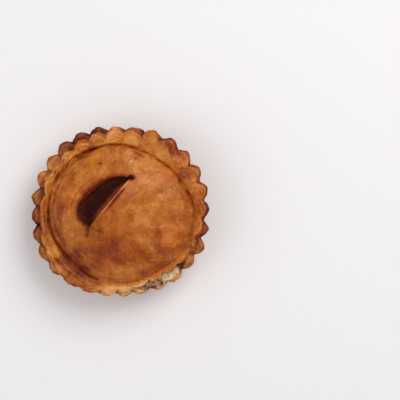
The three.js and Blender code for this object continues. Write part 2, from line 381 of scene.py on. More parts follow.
floor_mesh = bmesh.new()
bmesh.ops.create_circle(floor_mesh, cap_ends=True, segments=96, radius=2.5)
for vert in floor_mesh.verts:
    vert.co.z = -0.0001
floor_data = bpy.data.meshes.new("floor")
floor_mesh.to_mesh(floor_data)
floor_mesh.free()
floor = bpy.data.objects.new("floor", floor_data)
scene.collection.objects.link(floor)

paper = bpy.data.materials.new("pale_floor")
paper.use_nodes = True
paper.node_tree.nodes["Principled BSDF"].inputs["Base Color"].default_value = (0.9, 0.885, 0.89, 1)
paper.node_tree.nodes["Principled BSDF"].inputs["Roughness"].default_value = 0.8
floor_data.materials.append(paper)
print("two lamps, a pale room and a floor")

# %% [markdown]
# ## Turning a profile into pastry
# All three pieces are round, so each starts the same way: a line of vertices from the axis below
# to the axis above, spun round the axis. That gives rings and spokes, and a flute, a dome or a
# slit is then a matter of moving each vertex by where it is. The spin is asked to merge its last
# turn with its first, and the points on the axis are merged after it, so the skin is closed.

# %% Spin a profile
def spun(profile, steps):
    mesh = bmesh.new()
    line = [mesh.verts.new((radius, 0, height)) for radius, height in profile]
    edges = [mesh.edges.new(pair) for pair in zip(line, line[1:])]
    bmesh.ops.spin(
        mesh, geom=line + edges, cent=(0, 0, 0), axis=(0, 0, 1),
        angle=math.tau, steps=steps, use_merge=True,
    )
    poles = [vert for vert in mesh.verts if vert.co.xy.length < 1e-4]
    bmesh.ops.remove_doubles(mesh, verts=poles, dist=1e-3)
    bmesh.ops.recalc_face_normals(mesh, faces=mesh.faces[:])
    return mesh


def finish_piece(mesh, name, node):
    bmesh.ops.translate(mesh, verts=mesh.verts[:], vec=-MIDDLE)
    bmesh.ops.scale(mesh, verts=mesh.verts[:], vec=(MM, MM, MM))
    data = bpy.data.meshes.new(name)
    mesh.to_mesh(data)
    mesh.free()
    for face in data.polygons:
        face.use_smooth = True
    piece = bpy.data.objects.new(name, data)
    scene.collection.objects.link(piece)
    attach(piece, "root")
    if node:
        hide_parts(node)
    print(name, "has", sum(len(face.vertices) - 2 for face in data.polygons), "triangles")
    return piece


# %% [markdown]
# Relief has its own sizes. Lumps are 5 to 10 mm across, where fat and steam lifted the sheet.
# Leaves are the thin layers of puff pastry: each ends in a small torn step, which a smooth noise
# gives as the line where it crosses a level. Blisters are single bubbles of 1 to 3 mm. Folds are
# what is left of the flutes' pinching: flat facets that meet in a crease, which is what the
# second nearest point of a Voronoi pattern minus the nearest one gives.

# %% Relief of baked puff pastry
random.seed(7)
BLISTERS = 120
LEAVES = [(15, 0.30), (10, 0.24), (6, 0.16)]  # size of a leaf and height of its torn step
blister_tree = kdtree.KDTree(BLISTERS)
blister_sizes = []
for number in range(BLISTERS):
    angle = random.uniform(0, math.tau)
    radius = 44 * math.sqrt(random.random())
    blister_tree.insert((radius * math.cos(angle), radius * math.sin(angle), 0), number)
    blister_sizes.append((random.uniform(0.9, 2.4), random.uniform(0.10, 0.36)))
blister_tree.balance()


def blisters(x, y):
    _, number, distance = blister_tree.find((x, y, 0))
    width, height = blister_sizes[number]
    return height * (1 - min(1, distance / width) ** 2) ** 2


def lumps(x, y, z=0.0):
    spot = Vector((x, y, z))
    return 0.36 * noise.noise(spot / 8.5) + 0.16 * noise.noise(spot / 3.6 + Vector((5, 0, 0)))


def leaves(x, y, z=0.0):
    # The rise and the browning of the leaves, which are paler along their torn edges
    rise = tone = torn = 0.0
    broken = smoothstep(noise.noise(Vector((x, y, z)) / 5 + Vector((2, 8, 0))), 0.0, 0.25)
    for level, (size, height) in enumerate(LEAVES):
        value = noise.noise(Vector((x, y, z)) / size + Vector((0, 0, 3.7 * level + 0.5)))
        on_leaf = smoothstep(value, 0.03, 0.08) - 0.5
        rise += height * on_leaf
        tone += (0.05 - 0.09 * (level % 2)) * on_leaf
        torn = max(torn, bell(value - 0.09, 0.03))
    return rise, tone - 0.12 * broken * torn


def folds(x, y, size, seed):
    nearest, second = noise.voronoi(Vector((x / size, y / size, seed)))[0][:2]
    return second - nearest


def facet(x, y, size, seed):
    # The chance of the Voronoi cell that a spot lies in, from -1 to 1
    centre = noise.voronoi(Vector((x / size, y / size, seed)))[1][0]
    return chance(centre.x + 2 * centre.y, seed)


print(BLISTERS, "blisters of 1 to 2.4 mm,", len(LEAVES), "sizes of leaf")

# %% [markdown]
# Round the edge the sheet shows its layers. Each one baked to its own length, so it stands out or
# draws back by up to half a millimetre on its own, with a thin shadow between it and the next.
# The top layer has also flaked off along the edge, as far in as a wandering line.

# %% Layers at a fluted edge
LAYERS = 4
LAYER_BULGE = 0.12
LAYER_NOTCH = 0.6
FLAKE_THICK = 0.35


def layered_edge():
    # Nominal radii and shares of the thickness, from the top layer to the bottom one
    edge = [(EDGE - 0.5, 0.99)]
    for layer in range(LAYERS):
        top, bottom = 1 - layer / LAYERS, 1 - (layer + 1) / LAYERS
        edge += [(EDGE - LAYER_BULGE, top - 0.05), (EDGE, lerp(top, bottom, 0.5))]
        edge += [(EDGE - LAYER_BULGE, bottom + 0.05), (EDGE - LAYER_NOTCH, bottom)]
    return edge[:-1]


def layer_reach(angle, share, seed):
    seed += math.floor(clamp(1 - share, 0, 0.99) * LAYERS)
    return 0.55 * round_noise(angle, 4, seed) + 0.3 * round_noise(angle, 1.3, seed + 0.5)


def flaked(from_edge, angle, seed):
    # The drop where the top layer has flaked off, and how near its torn edge is
    line = 1.7 + 2.4 * round_noise(angle, 7, seed) + 1.0 * round_noise(angle, 1.8, seed + 0.5)
    drop = -FLAKE_THICK * (1 - smoothstep(from_edge, line - 0.25, line + 0.25))
    return drop, bell(from_edge - line, 0.45)


print(LAYERS, "layers at the edge")

# %% [markdown]
# A few marks belong to this very tart: a burnt pit beside the slit's head, two cracks that run on
# from its tail, a second short crease at the upper right, the raised edge of a leaf near it, and
# small dark spots. Each is a line with a width, a height and a darkening, and a spot is a line
# without length. Most are dents, and their darkening is partly browning and partly painted shade
# inside the dent; the pit is burnt.

# %% Marks on the lid
MARKS = [
    # from, to, half width, rise, how much darker
    ((6.4, 18.9), (6.8, 18.9), 1.4, -2.2, 0.80),
    ((4.6, 19.2), (6.3, 18.9), 0.8, -0.5, 0.35),
    ((-17.2, -7.0), (-18.0, -12.6), 1.0, -1.0, 0.18),
    ((-17.0, -6.8), (-17.6, -9.2), 1.6, -0.7, 0.04),
    ((-16.4, -7.4), (-10.4, -10.9), 0.6, -0.5, 0.12),
    ((7.2, 33.8), (13.0, 30.2), 0.5, -0.6, 0.22),
    ((-10.9, 26.9), (-10.2, 26.6), 0.5, -0.4, 0.45),
    ((-12.8, 35.0), (-19.9, 32.8), 0.6, -0.5, 0.28),
    ((-19.9, 32.8), (-24.8, 30.4), 0.4, -0.4, 0.20),
    ((-30.6, 25.4), (-36.2, 16.3), 1.2, -0.4, 0.15),
    ((-39.5, -4.0), (-36.0, -14.0), 0.6, -0.4, 0.12),
    ((-36.0, -14.0), (-29.5, -22.5), 0.7, -0.4, 0.06),
    ((-22.0, -32.6), (-12.6, -36.4), 0.8, -0.6, 0.20),
    ((18.0, 11.2), (22.5, 11.0), 1.3, -0.3, 0.14),
    ((-25.6, 20.2), (-24.6, 21.0), 2.2, -0.2, 0.16),
]


def mark_distance(x, y, start, end):
    spot = Vector((x, y, 0))
    start, end = Vector(start).to_3d(), Vector(end).to_3d()
    nearest, share = intersect_point_line(spot, start, end)
    return (start.lerp(end, clamp(share)) - spot).length


def marks(x, y):
    # The rise and the darkening of all the marks at a spot
    rise = tone = 0.0
    for start, end, width, height, darker in MARKS:
        near = bell(mark_distance(x, y, start, end), width)
        rise += height * near
        # A dent's darkening is partly browning and partly painted shade inside it
        tone += darker * near
    return rise, tone


print(len(MARKS), "marks")

# %% [markdown]
# ## Browning and painted shade
# What makes pastry look baked is its colour, and that follows the shape: thin tips and raised
# lips catch the heat, and dough that the glaze missed stays pale. So the shape code also writes
# one number to each vertex, 0 for pale dough and 1 for burnt, and the material turns it into a
# colour. The same number carries painted light and shade too: creases, grooves, tucks, notches
# and dents are painted darker as painted shade, and raised ridges, knobs and lifted edges paler
# as painted highlight, some of it on top of real browning. On the dome it varies by zones, and
# on the two fluted edges by where they lie round the tart.

# %% Zones of browning, painted shade and painted light
DOME_TONE = 0.45
PALEST = 0.15  # the lid is nowhere paler
BROWNEST = 0.76  # and only its marks, lips and leaves are browner
LID_EDGE_TONES = [0.66, 0.52, 0.54, 0.38, 0.44, 0.51, 0.57, 0.48, 0.50, 0.28, 0.36, 0.50]
LID_TIP_TONES = [0.18, 0.18, 0.14, 0.12, 0.00, -0.14, -0.20, -0.08, -0.08, -0.10, -0.08, 0.00]
# At 150 degrees the case's rim is painted paler, painted light against the shadow of the lid's edge
CASE_EDGE_TONES = [0.66, 0.58, 0.64, 0.92, 0.92, 0.44, 0.63, 0.46, 0.38, 0.36, 0.44, 0.53]
ZONES = [
    # place, how wide, how much darker
    ((-33, 0), 8, 0.07),
    ((-8, 30), 9, -0.04),
    # Painted light: the dome's upper right, towards the lamp, is painted paler as a painted sheen
    ((18, 22), 13, -0.15),
    # Painted shade, partly browning: the dome's lower side, away from the lamp
    ((-5, -22), 12, 0.27),
    ((18, -22), 10, 0.10),
    # These three are painted shade, partly browning, in the valley at the lower left
    ((-27.5, -24.5), 5.5, 0.27),
    ((-22, -30), 4.5, 0.20),
    ((-32, -17), 3.5, 0.18),
    # Paler at the bottom of the rim: partly the pale dough, partly a painted reflection
    ((-3, -37), 9, -0.22),
    ((28.0, 36.4), 3.5, 0.14),
    ((23.9, 41.3), 1.7, 0.34),
    ((-20.5, 15.5), 4, -0.08),
    ((2, 8), 8, 0.05),
]


def zoned(x, y):
    return sum(
        darker * math.exp(-((x - px) ** 2 + (y - py) ** 2) / width**2)
        for (px, py), width, darker in ZONES
    )


def blotches(x, y, z=0.0):
    spot = Vector((x, y, z))
    coarse = noise.noise(spot / 6 + Vector((9, 4, 0)))
    broad = noise.noise(spot / 12 + Vector((0, 7, 0)))
    return 0.12 * coarse + 0.05 * noise.noise(spot / 2.2) + 0.06 * broad


print(len(ZONES), "zones")

# %% [markdown]
# ## The lid
# The lid is made flat first: a spun sheet whose heights run from 0 on the underside to 1 on top,
# with a puffed edge in between. While it is flat the slit is cut out of it with a Boolean, whose
# cutter has several rings of its own between the two faces, so the cut wall gets vertices to
# model layers with. Only then is the sheet bent over the curd.

# %% A flat lid
STEPS = FLUTES * 20  # spokes round the lid and the case


def rings(start, end, spacing):
    count = math.ceil(abs(end - start) / spacing)
    return [lerp(start, end, number / count) for number in range(count)]


def lid_profile():
    fine = rings(DOME - 1.4, DOME + 1.4, 0.2)
    spacing = rings(0, DOME - 1.4, 0.5) + fine + rings(DOME + 1.4, EDGE - 0.7, 0.45)
    top = [(radius, 1.0) for radius in spacing]
    under = [(radius, 0.0) for radius in rings(EDGE - 0.8, DOME, 1.5) + rings(DOME, 0, 5) + [0]]
    return top + layered_edge() + under


def spread_lid(x, y):
    radius, angle = math.hypot(x, y), math.atan2(y, x)
    if radius <= DOME:
        out = radius / DOME * crease_radius(angle)
    else:
        out = lerp(crease_radius(angle), lid_edge(angle), (radius - DOME) / (EDGE - DOME))
    return out * math.cos(angle), out * math.sin(angle)


lid_mesh = spun(lid_profile(), STEPS)
for vert in lid_mesh.verts:
    vert.co.x, vert.co.y = spread_lid(vert.co.x, vert.co.y)
print("flat lid:", len(lid_mesh.verts), "vertices")

# %% Cut the slit
def slit_cutter():
    mesh = bmesh.new()
    bmesh.ops.create_circle(mesh, cap_ends=True, segments=len(slit_outline), radius=1)
    mesh.verts.ensure_lookup_table()
    for vert, place in zip(mesh.verts, slit_outline):
        vert.co = (place.x, place.y, -0.5)
    level = mesh.faces[:]
    for height in (0.1, 0.25, 0.4, 0.55, 0.7, 0.85, 0.95, 1.5):
        raised = bmesh.ops.extrude_face_region(mesh, geom=level)["geom"]
        if height > 0.1:
            bmesh.ops.delete(mesh, geom=level, context="FACES_ONLY")
        level = [item for item in raised if isinstance(item, bmesh.types.BMFace)]
        for vert in level[0].verts:
            vert.co.z = height
    bmesh.ops.recalc_face_normals(mesh, faces=mesh.faces[:])
    return mesh


def as_object(mesh, name):
    data = bpy.data.meshes.new(name)
    mesh.to_mesh(data)
    mesh.free()
    made = bpy.data.objects.new(name, data)
    scene.collection.objects.link(made)
    return made


flat_lid = as_object(lid_mesh, "flat_lid")
cutter = as_object(slit_cutter(), "slit_cutter")
cut = flat_lid.modifiers.new("slit", "BOOLEAN")
cut.operation = "DIFFERENCE"
cut.solver = "EXACT"
cut.object = cutter
slit_lid = bmesh.new()
slit_lid.from_object(flat_lid, bpy.context.evaluated_depsgraph_get())
for helper in (flat_lid, cutter):
    bpy.data.objects.remove(helper)
many_sided = [face for face in slit_lid.faces if len(face.verts) > 4]
bmesh.ops.triangulate(slit_lid, faces=many_sided)
open_edges = sum(not edge.is_manifold for edge in slit_lid.edges)
print("slit lid:", len(slit_lid.verts), "vertices,", open_edges, "open edges")

# %% [markdown]
# Bending the lid is done vertex by vertex, from a flat place and a share of the thickness to a
# real place. Pinching the flutes folded the rim into facets: its inner half stayed fairly flat,
# and its outer half got a pleat on each flute and a tuck between some of them. At the left, long
# streaks and a fold run beside the crease. The cut's wall leans into the slit all round, which is
# why its layers can be seen from above. Along the straight cut the lip is thin and painted pale,
# partly a painted highlight on its edge, with a groove right behind it painted dark as painted
# shade.

# %% Folds of the lid's rim and the slit's lips
FOLD_HEIGHT = 1.0
RIM_FACETS = (6.5, 2.0)  # size and seed
SLIT_MIDDLE = Vector((-11.0, 6.0))
WALL_LEAN = 2.4
WALL_TONES = (0.70, 0.75)  # on the rounded side and on the straight one


def lid_turns(angle):
    return angle / math.tau * FLUTES - PHASE - 0.5 * LID_SLIP * (1 - math.cos(angle))


def pleat(angle):
    # 0.5 on a flute's back and -0.5 between two flutes, with the back off centre. Every flute has
    # its own strength, and at the lower left they are weak.
    turns = lid_turns(angle)
    number = round(turns) % FLUTES
    skew = 0.3 * chance(number, 8)
    side = turns - round(turns) - skew
    height = 0.5 - (side / (0.5 - skew if side > 0 else 0.5 + skew)) ** 2
    weak = 0.35 * (1 - math.cos(angle - math.pi / 4))
    return height * (1 - weak) * (1 + 0.6 * chance(number, 4))


def tuck(angle, past, from_edge):
    # 1 in a pinched fold between two flutes, which only some of them have, each of its own length
    turns = lid_turns(angle) - 0.5
    number = round(turns) % FLUTES
    deep = smoothstep(chance(number, 9), 0.1, 0.8)
    length = 4.5 + 2.5 * chance(number, 3)
    aside = (turns - round(turns)) * math.tau * EDGE / FLUTES + 0.6 * math.sin(0.8 * past + number)
    return deep * bell(aside, 0.55) * (1 - smoothstep(from_edge, length - 3, length))


def streaks(angle, past):
    # Long wrinkles beside the crease, which run the way the edge does. They lie on the left.
    place = Vector((2.6 * math.cos(angle), 2.6 * math.sin(angle), past / 1.5))
    left = 0.5 * (1 - math.cos(angle - 0.1))
    return left**1.5 * noise.noise(place) * smoothstep(past, -8, -3)


def left_fold(angle, past):
    # 1 on the ridge of a long fold inside the crease at the left, and -0.6 on the flat behind it
    turn = (math.degrees(angle) % 360 - 168) / 16
    flat = smoothstep(past, -3.4, -2.6) * (1 - smoothstep(past, -1.2, -0.4))
    return bell(turn, 1) * (bell(past + 3.8, 0.6) - 0.6 * flat)


def rim_folds(x, y, angle, past, from_edge):
    # The inner half of the rim is flat but for its facets
    outer = smoothstep(past / (past + from_edge), 0.3, 0.8) if past > 0 else 0.0
    crumple = folds(x, y, *RIM_FACETS) - 0.25
    return smoothstep(past, 1, 5) * FOLD_HEIGHT * (0.4 * outer * pleat(angle) + crumple)


def lips(share, away, cut_share, side):
    # The rise beside the slit, and its browning with painted shade and painted highlight
    straight = smoothstep(side, -3, -1)
    upper = straight * smoothstep(cut_share, -0.02, 0.08) * (1 - smoothstep(cut_share, 0.6, 0.85))
    dented = straight * smoothstep(cut_share, 0.12, 0.25) * (1 - smoothstep(cut_share, 0.5, 0.72))
    thin = bell(away, 0.55)
    groove = dented * bell(away - 1.35, 0.6)
    rise = share * (0.2 * upper * thin - 0.5 * groove)
    # The thin lip is painted pale, partly a painted highlight on its edge, and the groove behind it
    # dark,  painted shade
    pale = 0.34 * thin * smoothstep(share, 0.7, 1)
    tone = 0.34 * groove + upper * (0.10 * math.exp(-away / 3) - pale)
    # The rounded side's roll is painted darker towards the slit: partly browning, partly painted
    # shade
    tone += (1 - straight) * 0.36 * (1 - smoothstep(away, -0.4, 2.4))
    left = smoothstep(cut_share, 0.25, 0.5) * (1 - smoothstep(cut_share, 0.92, 1.15))
    # The wrinkle's ridge is painted paler and its trough darker: painted highlight and painted
    # shade
    wrinkle = (1 - straight) * left * (bell(away - 4.3, 0.7) - bell(away - 3.4, 0.4))
    return rise + 0.22 * share * wrinkle, tone - 0.11 * wrinkle


# %% Bend the lid and write its browning
browning_and_shade = slit_lid.verts.layers.float.new("browning_and_shade")


def dough_band(radius, angle):
    # 1 on the strip at the bottom that the glaze missed
    turn = abs(math.degrees(angle) % 360 - 276)
    wavy = radius + 1.6 * round_noise(angle, 3, DOUGH_SEED)
    return (1 - smoothstep(turn, 8, 18)) * smoothstep(wavy, 40.6, 41.6)


def lid_tone(x, y, angle, past, from_edge):
    rim = smoothstep(past, -0.5, 2.5)
    tone = lerp(DOME_TONE, around_tart(LID_EDGE_TONES, angle), rim) + zoned(x, y) + blotches(x, y)
    # Painted shade, partly browning: the crease's groove and its pinched line are darker
    tone += 0.10 * crease_groove(past, angle) + 0.26 * crease_line(past, angle)
    tone += 0.06 * bell(past + 3.5, 2.5)
    # Rim facets each get a random step paler or darker, partly the bake and partly painted light
    # and shade on their tilt; pleat backs are painted paler and the gaps darker, painted highlight
    # and shade
    tone += rim * (0.08 * facet(x, y, *RIM_FACETS) - 0.06 * pleat(angle))
    # Painted shade in the pinched tucks
    tone += 0.20 * tuck(angle, past, from_edge)
    # The wrinkles' ridges are painted paler and their hollows darker: painted highlight and painted
    # shade
    tone -= 0.24 * streaks(angle, past) + 0.12 * left_fold(angle, past)
    own = 1 + 0.4 * chance(round(lid_turns(angle)) % FLUTES, 1)
    tone += own * around_tart(LID_TIP_TONES, angle) * (1 - smoothstep(from_edge, 0.2, 2.4))
    return min(tone, BROWNEST) - 0.15 * dough_band(math.hypot(x, y), angle)


def bend_lid(x, y, share):
    # The height and the tone of a place in the sheet, browning with painted shade and highlight,
    # from below, share 0, to the top, share 1
    radius, angle = math.hypot(x, y), math.atan2(y, x)
    past = radius - crease_radius(angle)
    from_edge = lid_edge(angle) - radius
    away = away_from_slit(x, y)
    cut_share, side = along_cut(x, y)
    leaf_rise, leaf_tone = leaves(x, y)
    mark_rise, mark_tone = marks(x, y)
    lip_rise, lip_tone = lips(share, max(0.0, away), cut_share, side)
    relief = lumps(x, y) + leaf_rise + blisters(x, y) + mark_rise
    relief += rim_folds(x, y, angle, past, from_edge)
    wrinkles = 1.2 * streaks(angle, past) + 0.35 * left_fold(angle, past)
    relief += wrinkles - 0.5 * crease_line(past, angle)
    relief -= 0.4 * tuck(angle, past, from_edge)
    tone = lid_tone(x, y, angle, past, from_edge) + mark_tone + lip_tone + leaf_tone
    if past > 3:
        drop, torn = flaked(from_edge, angle, LID_FLAKED_SEED)
        relief += drop
        tone += 0.3 * abs(drop) - 0.20 * torn
    z = lerp(lid_under(radius, angle), lid_top(radius, angle), share) + lip_lift(x, y, away)
    return z + share * relief + lip_rise, tone


for vert in slit_lid.verts:
    x, y, share = vert.co
    angle = math.atan2(y, x)
    from_edge = lid_edge(angle) - math.hypot(x, y)
    away = away_from_slit(x, y)
    z, tone = bend_lid(x, y, share)
    if 0.02 < share < 0.98 and from_edge < 1.0:
        reach = layer_reach(angle, share, LID_LAYERS_SEED)
        x += reach * math.cos(angle)
        y += reach * math.sin(angle)
        tone += 0.20 * reach - 0.08
    elif abs(away) < 0.05 and share < 0.99:
        cut_share, side = along_cut(x, y)
        lean = WALL_LEAN * (1 - share) * smoothstep(math.sin(math.pi * clamp(cut_share)), 0.0, 0.8)
        straight = side > -0.1
        inward = (SLIT_HEAD - SLIT_TAIL).orthogonal() if straight else SLIT_MIDDLE - Vector((x, y))
        inward.normalize()
        layer = 0.3 * noise.noise(Vector((x / 3, y / 3, 9 * share)))
        x += inward.x * (lean + layer)
        y += inward.y * (lean + layer)
        # The cut's wall is painted darker towards its foot, painted shade down in the slit
        tone = WALL_TONES[straight] + 0.16 * (1 - share)
        tone += 0.16 * noise.noise(Vector((x / 3, y / 3, 7 * share)))
    vert[browning_and_shade] = clamp(tone, PALEST)
    vert.co = (x, y, z)

lid = finish_piece(slit_lid, "lid_crust", "pastry_lid")

# %% [markdown]
# The top leaf of puff pastry comes loose in flakes. Each is a thin strip that still holds on along
# one side and has curled up along the other, which is painted paler there as a painted highlight
# where it lifts. They lie the way the sheet was bent, along the crease and the rim. A few are
# placed where this tart has them and the others are scattered. A flake is a small grid laid on the
# lid's surface, then extruded to its thickness.

# %% Loose flakes
LEAF_THICK = 0.2
FLAKES = [
    # middle, direction in degrees, length, width, lift
    ((-26.0, 34.2), 24, 13, 2.2, 0.9),
    ((-28.0, 30.6), 34, 11, 1.9, 0.7),
    ((-41.0, 14.8), 86, 9, 2.2, 0.9),
    ((-38.6, 19.4), 20, 7, 2.0, 0.8),
    ((6.4, 28.4), 54, 9, 2.0, 0.7),
    ((21.0, 22.5), 5, 3.5, 1.4, 0.5),
    ((29.4, 14.0), 160, 5, 1.5, 0.5),
    ((-31.2, 20.4), 62, 10, 1.7, 0.5),
    ((-25.0, 26.8), 36, 10, 1.6, 0.5),
    ((30.7, 29.0), 38, 6, 1.8, 0.6),
    ((33.5, 24.1), 4, 7, 1.7, 0.6),
    ((-21.5, 27.2), 158, 5, 1.2, 0.4),
]
SCATTERED = 55


def scattered_flake():
    angle = random.uniform(0, math.tau)
    crease, edge = crease_radius(angle), lid_edge(angle)
    radius = random.choice([
        random.uniform(crease + 0.8, edge - 1.2),
        random.uniform(edge - 2.4, edge - 1.2),
        random.uniform(0.72 * crease, crease - 1),
    ])
    direction = math.degrees(angle) + 90 + random.gauss(0, 16)
    size = random.uniform(2.5, 7.5)
    middle = (radius * math.cos(angle), radius * math.sin(angle))
    return middle, direction, size, 0.20 * size + 0.5, random.uniform(0.25, 0.6)


def add_flake(mesh, layer, seed, middle, direction, length, width, lift):
    along = Vector((math.cos(math.radians(direction)), math.sin(math.radians(direction))))
    across = Vector((-along.y, along.x))
    bow = 0.12 * length * chance(seed, 6)
    cells = max(8, round(2.5 * length))
    made = bmesh.ops.create_grid(mesh, x_segments=cells, y_segments=4, size=1)["verts"]
    for vert in made:
        u, v = vert.co.x, (vert.co.y + 1) / 2
        place = 0.5 * length * u
        torn = 1 + 0.7 * noise.noise(Vector((place / 2.6, seed, 0.5)))
        torn += 0.3 * noise.noise(Vector((place / 1.1, seed, 9.5)))
        reach = width * (1 - abs(u) ** 2.4) ** 0.7 * torn * v
        spot = Vector(middle) + place * along + (reach - 0.5 * width + bow * (1 - u * u)) * across
        z, tone = bend_lid(spot.x, spot.y, 1.0)
        vert.co = (spot.x, spot.y, z + 0.06 + lift * (1 - u * u) * v * v)
        # Towards the curled edge the flake is painted paler, a painted highlight where it lifts
        vert[layer] = clamp(tone + 0.03 - 0.24 * v * v, PALEST)
    faces = list({face for vert in made for face in vert.link_faces})
    extruded = bmesh.ops.extrude_face_region(mesh, geom=faces)["geom"]
    lower = [item for item in extruded if isinstance(item, bmesh.types.BMVert)]
    bmesh.ops.translate(mesh, verts=lower, vec=(0, 0, -LEAF_THICK))


flake_mesh = bmesh.new()
flake_browning_and_shade = flake_mesh.verts.layers.float.new("browning_and_shade")
for seed, flake in enumerate(FLAKES + [scattered_flake() for number in range(SCATTERED)]):
    add_flake(flake_mesh, flake_browning_and_shade, seed, *flake)
bmesh.ops.recalc_face_normals(flake_mesh, faces=flake_mesh.faces[:])
flakes = finish_piece(flake_mesh, "lid_flakes", None)

# %% [markdown]
# ## The case
# The case is spun too, from its underside up the tapering wall, round the fluted edge and down
# inside. It was baked in a smooth tin, so its wall is plain but for the layers' faint lines and a
# few pits, and its underside lies flat.

# %% Case
CASE_LOW = RIM_Z - RIM_THICK


def case_profile():
    under = [(radius, 0.0) for radius in rings(0, FOOT_RADIUS, 2.4)]
    corner = [(FOOT_RADIUS, 0.0), (34.5, 0.25), (35.0, 0.8), (35.4, 1.6)]
    wall = [(lerp(35.6, 40.1, t / 28), lerp(2.4, CASE_LOW - 1, t / 28)) for t in range(0, 29)]
    below = [(40.6, CASE_LOW - 0.4)]
    below += [(radius, CASE_LOW) for radius in rings(41.2, EDGE - 0.8, 0.9)]
    edge = [(radius, CASE_LOW + share * RIM_THICK) for radius, share in reversed(layered_edge())]
    rim = [(radius, RIM_Z) for radius in rings(EDGE - 0.7, WALL_TOP_RADIUS, 0.5)]
    inside = [(cave_radius(z), z) for z in (RIM_Z, 17, 14, 11, 8, 5, FLOOR_THICK)]
    floor_inside = [(radius, FLOOR_THICK) for radius in (24, 12, 0)]
    return under + corner + wall + below + edge + rim + inside + floor_inside


def edge_of_case(x, y, z, out, angle, share):
    # The rise, the reach and the tone of a vertex on the case's fluted edge, which is browning
    # with painted shade in the notches and painted light on the knobs and the outermost rim
    from_edge = case_edge(angle) - out
    reach = drop = torn = 0.0
    knob = flute(angle, PHASE, CASE_FLUTES_SEED)
    puff = 1.3 * (knob - 0.5) * smoothstep(share, 0.4, 0.85) - 0.5 * smoothstep(share, 0.85, 1)
    if z > RIM_Z - 0.05:
        drop, torn = flaked(from_edge, angle, CASE_FLAKED_SEED)
        crumple = 0.8 * folds(x, y, 4.5, 6.0) + 0.6 * folds(x, y, 2.4, 9.0) - 0.35
        relief = lumps(x, y) + leaves(x, y)[0] + crumple * smoothstep(share, 0.3, 0.7)
    else:
        relief = 0.4 * lumps(x, y)
    if CASE_LOW + 0.05 < z < RIM_Z - 0.03 and from_edge < 1.0:
        reach = layer_reach(angle, (z - CASE_LOW) / RIM_THICK, CASE_LAYERS_SEED)
    tone = around_tart(CASE_EDGE_TONES, angle) + blotches(x, y, z)
    # Painted shade in the notches between the knobs, and their tops a little paler as painted
    # highlight
    tone += (0.36 * (1 - knob) ** 2 - 0.06) * smoothstep(share, 0.3, 0.8)
    tone += 0.2 * abs(drop) - 0.16 * torn + 0.2 * reach
    tone -= 0.16 * noise.noise(Vector((x / 2.6, y / 2.6, 5.0)))
    tone += 0.14 * chance(round(angle / math.tau * FLUTES - PHASE) % FLUTES, 5)
    # The outermost rim is painted paler, painted light against the shade its drooping side gets
    tone -= 0.12 * smoothstep(share, 0.93, 1)
    return rim_top(out) - RIM_Z + puff + drop + relief, reach, tone


def wall_of_case(x, y, z):
    # How far a vertex on the wall stands out, and its browning with painted shade and highlight
    pits = smoothstep(noise.noise(Vector((x / 1.6, y / 1.6, z / 1.6))), 0.45, 0.65)
    layers = noise.noise(Vector((x / 9, y / 9, z * 1.3)))
    spot = Vector((x / 2.6, y / 2.6, z / 2.6)) + Vector((3, 1, 8))
    bubbles = smoothstep(noise.noise(spot), 0.25, 0.55)
    out = 0.22 * layers - 0.35 * pits + 0.3 * bubbles + 0.6 * lumps(x, y, z)
    # Pits are painted darker, painted shade in them, and bubbles paler, a painted highlight on them
    tone = 0.45 + 0.14 * layers + 0.12 * smoothstep(z, 11, 17) + 0.10 * pits - 0.07 * bubbles
    return out, tone + blotches(x, y, z)


case_mesh = spun(case_profile(), STEPS)
browning_and_shade = case_mesh.verts.layers.float.new("browning_and_shade")
for vert in case_mesh.verts:
    x, y, z = vert.co
    radius, angle = math.hypot(x, y), math.atan2(y, x)
    share = max(0.0, (radius - WALL_TOP_RADIUS) / (EDGE - WALL_TOP_RADIUS))
    out = lerp(WALL_TOP_RADIUS, case_edge(angle), share) if share > 0 else radius
    tone = 0.42
    if share > 0:
        x, y = out * math.cos(angle), out * math.sin(angle)
        rise, reach, tone = edge_of_case(x, y, z, out, angle, share)
        z += rise
        out += reach
    elif z > 1 and radius > 34:
        moved, tone = wall_of_case(x, y, z)
        out += moved * smoothstep(z, 1, 3)
    elif z < 0.01:
        hollow = smoothstep(noise.noise(Vector((x / 2.5, y / 2.5, 1.0))), 0.3, 0.6)
        z += 0.12 * hollow if radius < 32 else 0
        tone = 0.36 + 0.16 * smoothstep(radius, 18, 34) + blotches(x, y)
    vert[browning_and_shade] = clamp(tone)
    vert.co = (out * math.cos(angle), out * math.sin(angle), z)

case = finish_piece(case_mesh, "case_crust", "pastry_case")

# %% [markdown]
# ## The curd
# The curd fills the case and sinks a little in the slit, where its skin baked almost black and
# shines. At the lower right some of it crept out over the rim before the pastry set, and there it
# stayed pale and crumbly. One piece carries both, with the same number for its browning and for
# the painted shade between its grains.

# %% Curd
CURD_STEPS = FLUTES * 16
GRAIN = 1.4
ON_TOP = 100.0  # marks a vertex whose height is worked out later
neck = cave_radius(RIM_Z) - GAP


def curd_profile():
    below = [(0, FLOOR_THICK + GAP), (16, FLOOR_THICK + GAP)]
    below += [(cave_radius(z) - GAP, z) for z in (FLOOR_THICK + GAP, 8, 12, 16, RIM_Z - 0.4)]
    lip = [(neck + share * SEEP_REACH, RIM_Z) for share in (0, 0.25, 0.5, 0.75, 1)]
    face = [(neck + SEEP_REACH, RIM_Z + share * SEEP_THICK) for share in (0.25, 0.5, 0.75)]
    over = [(radius, ON_TOP) for radius in rings(neck + SEEP_REACH, neck, 0.42)]
    inner = rings(neck - SEEP_THICK, 29, 2.5) + rings(29, 0, 0.6) + [0]
    top = [(radius, ON_TOP) for radius in inner]
    return below + lip + face + over + top


def grains(x, y, z):
    # Bumps of curd grains, from about -0.4 to 0.5
    return 0.5 - noise.voronoi(Vector((x, y, z)) / GRAIN)[0][0]


